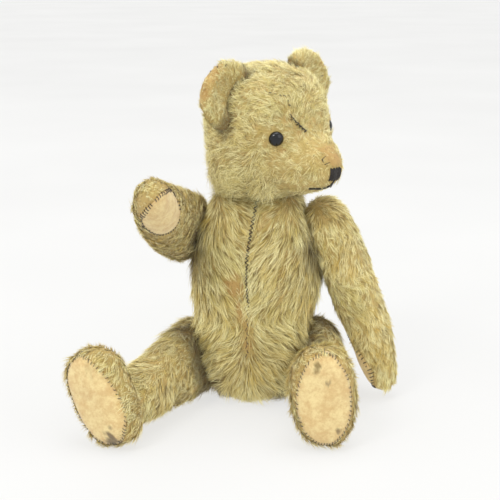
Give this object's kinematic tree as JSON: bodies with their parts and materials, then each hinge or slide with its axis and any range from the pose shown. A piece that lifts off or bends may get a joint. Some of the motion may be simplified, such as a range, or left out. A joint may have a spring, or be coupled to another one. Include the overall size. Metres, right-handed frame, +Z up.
{
  "type": "teddy bear",
  "caption": "Seated mohair teddy bear with a turning head, disc-jointed arms and legs, felt pads and a long closing seam; worn, bald and mended in places",
  "frame": {"origin": "the middle of the flat patch under the body, where it sits", "axes": "+Z up; the bear faces -Y, so +X is its left side and the image's right; the head is turned towards +X"},
  "size_m": [0.1994, 0.1565, 0.2265],
  "materials": {
    "mohair": "straw-coloured mohair pile on an ochre woven backing, thin and matted, bald in places",
    "felt": "pale peach wool felt, rubbed and spotted, a dark darned patch on one foot",
    "wood_wool": "fine curled wood shavings, packed hard",
    "hardboard": "pressed brown board, matt",
    "steel": "plain steel gone dull",
    "eye_glass": "shiny black glass boot button",
    "thread": "black cotton embroidery thread"
  },
  "bodies": {
    "torso": {"body_panel_left": "mohair", "body_panel_right": "mohair", "body_stuffing": "wood_wool", "neck_disc_in_body": "hardboard", "neck_washer_in_body": "steel", "neck_pin": "steel", "shoulder_disc_left": "hardboard", "shoulder_washer_left": "steel", "shoulder_pin_left": "steel", "hip_disc_left": "hardboard", "hip_washer_left": "steel", "hip_pin_left": "steel", "shoulder_disc_right": "hardboard", "shoulder_washer_right": "steel", "shoulder_pin_right": "steel", "hip_disc_right": "hardboard", "hip_washer_right": "steel", "hip_pin_right": "steel"},
    "head": {"head_side_left": "mohair", "head_side_right": "mohair", "head_gusset": "mohair", "head_stuffing": "wood_wool", "nose": "thread", "mouth": "thread", "ear_front_left": "mohair", "ear_back_left": "mohair", "eye_left": "eye_glass", "ear_front_right": "mohair", "ear_back_right": "mohair", "eye_right": "eye_glass", "neck_disc_in_head": "hardboard", "neck_washer_in_head": "steel"},
    "arm_left": {"arm_outer_left": "mohair", "arm_inner_left": "mohair", "paw_pad_left": "felt", "arm_stuffing_left": "wood_wool", "arm_disc_left": "hardboard", "arm_washer_left": "steel"},
    "arm_right": {"arm_outer_right": "mohair", "arm_inner_right": "mohair", "paw_pad_right": "felt", "arm_stuffing_right": "wood_wool", "arm_disc_right": "hardboard", "arm_washer_right": "steel"},
    "leg_left": {"leg_outer_left": "mohair", "leg_inner_left": "mohair", "sole_pad_left": "felt", "leg_stuffing_left": "wood_wool", "leg_disc_left": "hardboard", "leg_washer_left": "steel"},
    "leg_right": {"leg_outer_right": "mohair", "leg_inner_right": "mohair", "sole_pad_right": "felt", "leg_stuffing_right": "wood_wool", "leg_disc_right": "hardboard", "leg_washer_right": "steel"}
  },
  "joints": [
    {"name": "neck_turn", "type": "hinge", "parent": "torso", "child": "head", "pos_m": [0, 0.002, 0.138], "axis": [0, 0, 1], "continuous": true},
    {"name": "shoulder_left", "type": "hinge", "parent": "torso", "child": "arm_left", "pos_m": [0.0365, 0.001, 0.105], "axis": [-0.9426, 0, -0.3338], "range_deg": [-110, 95]},
    {"name": "shoulder_right", "type": "hinge", "parent": "torso", "child": "arm_right", "pos_m": [-0.035, 0.001, 0.1045], "axis": [-0.9249, 0.1966, 0.3256], "range_deg": [-225, 20]},
    {"name": "hip_left", "type": "hinge", "parent": "torso", "child": "leg_left", "pos_m": [0.027, 0.004, 0.0285], "axis": [-0.9589, -0.0671, 0.2756], "range_deg": [-200, 20]},
    {"name": "hip_right", "type": "hinge", "parent": "torso", "child": "leg_right", "pos_m": [-0.026, -0.006, 0.029], "axis": [-0.9118, 0.3319, -0.2419], "range_deg": [-200, 45]}
  ]
}
